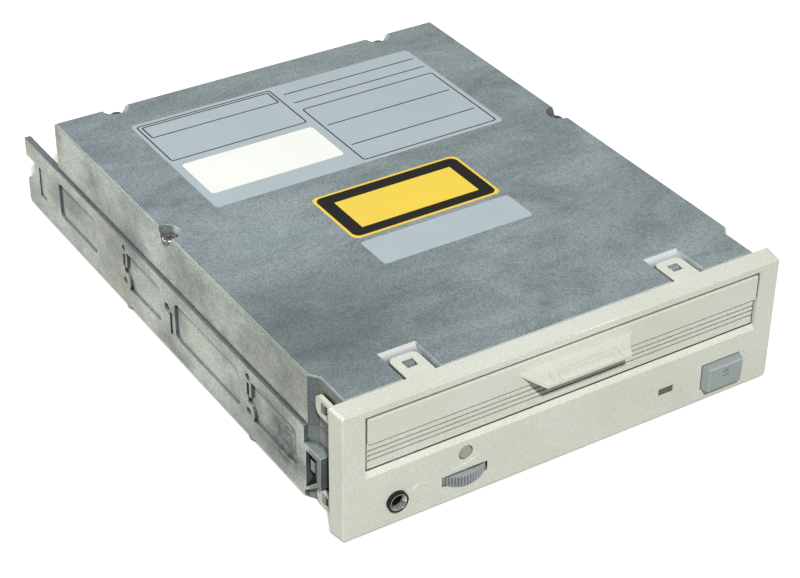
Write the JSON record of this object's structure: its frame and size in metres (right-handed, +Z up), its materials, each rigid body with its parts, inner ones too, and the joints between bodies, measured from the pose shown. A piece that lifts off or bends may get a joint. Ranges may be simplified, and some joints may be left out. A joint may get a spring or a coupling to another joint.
{
  "type": "cd-rom drive",
  "caption": "Half-height internal CD-ROM drive: cast alloy case, cream front with a drop-down caddy door and finger lip, volume wheel, headphone jack and eject button.",
  "frame": {"origin": "bottom centre of the box around the part", "axes": "+X to the right seen from the front, +Y from the front to the rear, +Z up; the front face looks along -Y"},
  "size_m": [0.149, 0.2134, 0.0425],
  "materials": {
    "bezel_plastic": "cream moulded ABS, fine matt texture",
    "grey_plastic": "blue-grey moulded ABS",
    "black_plastic": "black moulded nylon",
    "white_nylon": "natural white nylon",
    "lamp_window": "smoked clear acrylic",
    "lamp_body": "amber epoxy",
    "cast_alloy": "as-cast alloy, mottled grey",
    "sheet_steel": "zinc plated sheet steel",
    "bright_steel": "nickel plated steel",
    "board": "green solder mask on glass-fibre board",
    "ribbon": "white flat flexible cable",
    "gold_pins": "gold flashed brass",
    "rubber": "black rubber",
    "turned_alloy": "turned and bead blasted alloy",
    "magnet": "sintered ferrite",
    "lens_glass": "coated glass"
  },
  "bodies": {
    "drive": {"bezel": "bezel_plastic", "access_plug": "grey_plastic", "headphone_jack": "black_plastic", "volume_pot": "black_plastic", "eject_switch": "black_plastic", "interface_socket": "black_plastic", "audio_socket": "black_plastic", "jumper_block": "black_plastic", "board_chips": "black_plastic", "power_socket": "white_nylon", "led_lens": "lamp_window", "led_lamp": "lamp_body", "chassis": "cast_alloy", "top_cover": "cast_alloy", "bottom_plate": "sheet_steel", "mech_deck": "sheet_steel", "ground_spring": "sheet_steel", "cover_screws": "bright_steel", "bottom_screws": "bright_steel", "board_screws": "bright_steel", "damper_screws": "bright_steel", "door_hinge_rod": "bright_steel", "door_spring": "bright_steel", "guide_rods": "bright_steel", "gear_axles": "bright_steel", "jack_ring": "bright_steel", "spindle_motor": "bright_steel", "sled_motor": "bright_steel", "loading_motor": "bright_steel", "front_board": "board", "main_board": "board", "front_ribbon": "ribbon", "interface_pins": "gold_pins", "power_pins": "gold_pins", "audio_pins": "gold_pins", "deck_dampers": "rubber", "drive_belt": "rubber"},
    "door": {"caddy_door": "bezel_plastic"},
    "eject_button": {"eject_button": "grey_plastic"},
    "switch_plunger": {"switch_plunger": "black_plastic"},
    "volume_wheel": {"volume_wheel": "grey_plastic"},
    "turntable": {"turntable": "turned_alloy", "turntable_magnet": "magnet"},
    "pickup": {"pickup_sled": "turned_alloy", "objective_lens": "lens_glass"},
    "lead_screw": {"lead_screw": "bright_steel"},
    "holder": {"caddy_holder": "sheet_steel", "holder_pins": "bright_steel"},
    "cam_slide": {"cam_slide": "sheet_steel"},
    "rack_gear": {"rack_gear": "white_nylon"},
    "pulley_gear": {"pulley_gear": "white_nylon"},
    "motor_pulley": {"motor_pulley": "white_nylon"}
  },
  "joints": [
    {"name": "door_hinge", "type": "hinge", "parent": "drive", "child": "door", "pos_m": [0, -0.0965, 0.0236], "axis": [1, 0, 0], "range_deg": [0, 80], "stiffness_Nm_per_rad": 0.005, "springref_deg": -57.3},
    {"name": "eject_press", "type": "slide", "parent": "drive", "child": "eject_button", "axis": [0, 1, 0], "range_m": [0, 0.0015], "stiffness_N_per_m": 400, "springref_m": -0.001},
    {"name": "switch_press", "type": "slide", "parent": "drive", "child": "switch_plunger", "axis": [0, 1, 0], "range_m": [0, 0.0015]},
    {"name": "volume_turn", "type": "hinge", "parent": "drive", "child": "volume_wheel", "pos_m": [-0.03485, -0.0932, 0.0079], "axis": [0, 0, 1], "range_deg": [-140, 140]},
    {"name": "spindle_turn", "type": "hinge", "parent": "drive", "child": "turntable", "pos_m": [0, -0.0244, 0.02], "axis": [0, 0, 1], "continuous": true},
    {"name": "pickup_travel", "type": "slide", "parent": "drive", "child": "pickup", "axis": [0, 1, 0], "range_m": [0, 0.035]},
    {"name": "lead_screw_turn", "type": "hinge", "parent": "drive", "child": "lead_screw", "pos_m": [-0.033, -0.0104, 0.0118], "axis": [0, 1, 0], "range_deg": [-5, 4205]},
    {"name": "holder_drop", "type": "slide", "parent": "drive", "child": "holder", "axis": [0, 0, 1], "range_m": [-0.0055, 0]},
    {"name": "slide_travel", "type": "slide", "parent": "drive", "child": "cam_slide", "axis": [0, 1, 0], "range_m": [-0.011, 0]},
    {"name": "rack_gear_turn", "type": "hinge", "parent": "drive", "child": "rack_gear", "pos_m": [-0.005, 0.0628, 0.02], "axis": [0, 0, 1], "range_deg": [-1, 128]},
    {"name": "pulley_gear_turn", "type": "hinge", "parent": "drive", "child": "pulley_gear", "pos_m": [0.012, 0.0628, 0.025], "axis": [0, 0, 1], "range_deg": [-412, 2]},
    {"name": "motor_pulley_turn", "type": "hinge", "parent": "drive", "child": "motor_pulley", "pos_m": [0.04, 0.0628, 0.026], "axis": [0, 0, 1], "range_deg": [-1480, 5]}
  ],
  "couplings": [
    {"joint": "switch_press", "follows": "eject_press", "ratio": 1},
    {"joint": "lead_screw_turn", "follows": "pickup_travel", "rad_per_m": 2094.4},
    {"joint": "slide_travel", "follows": "holder_drop", "ratio": 2},
    {"joint": "rack_gear_turn", "follows": "holder_drop", "rad_per_m": -400},
    {"joint": "pulley_gear_turn", "follows": "holder_drop", "rad_per_m": 1300},
    {"joint": "motor_pulley_turn", "follows": "holder_drop", "rad_per_m": 4680}
  ]
}
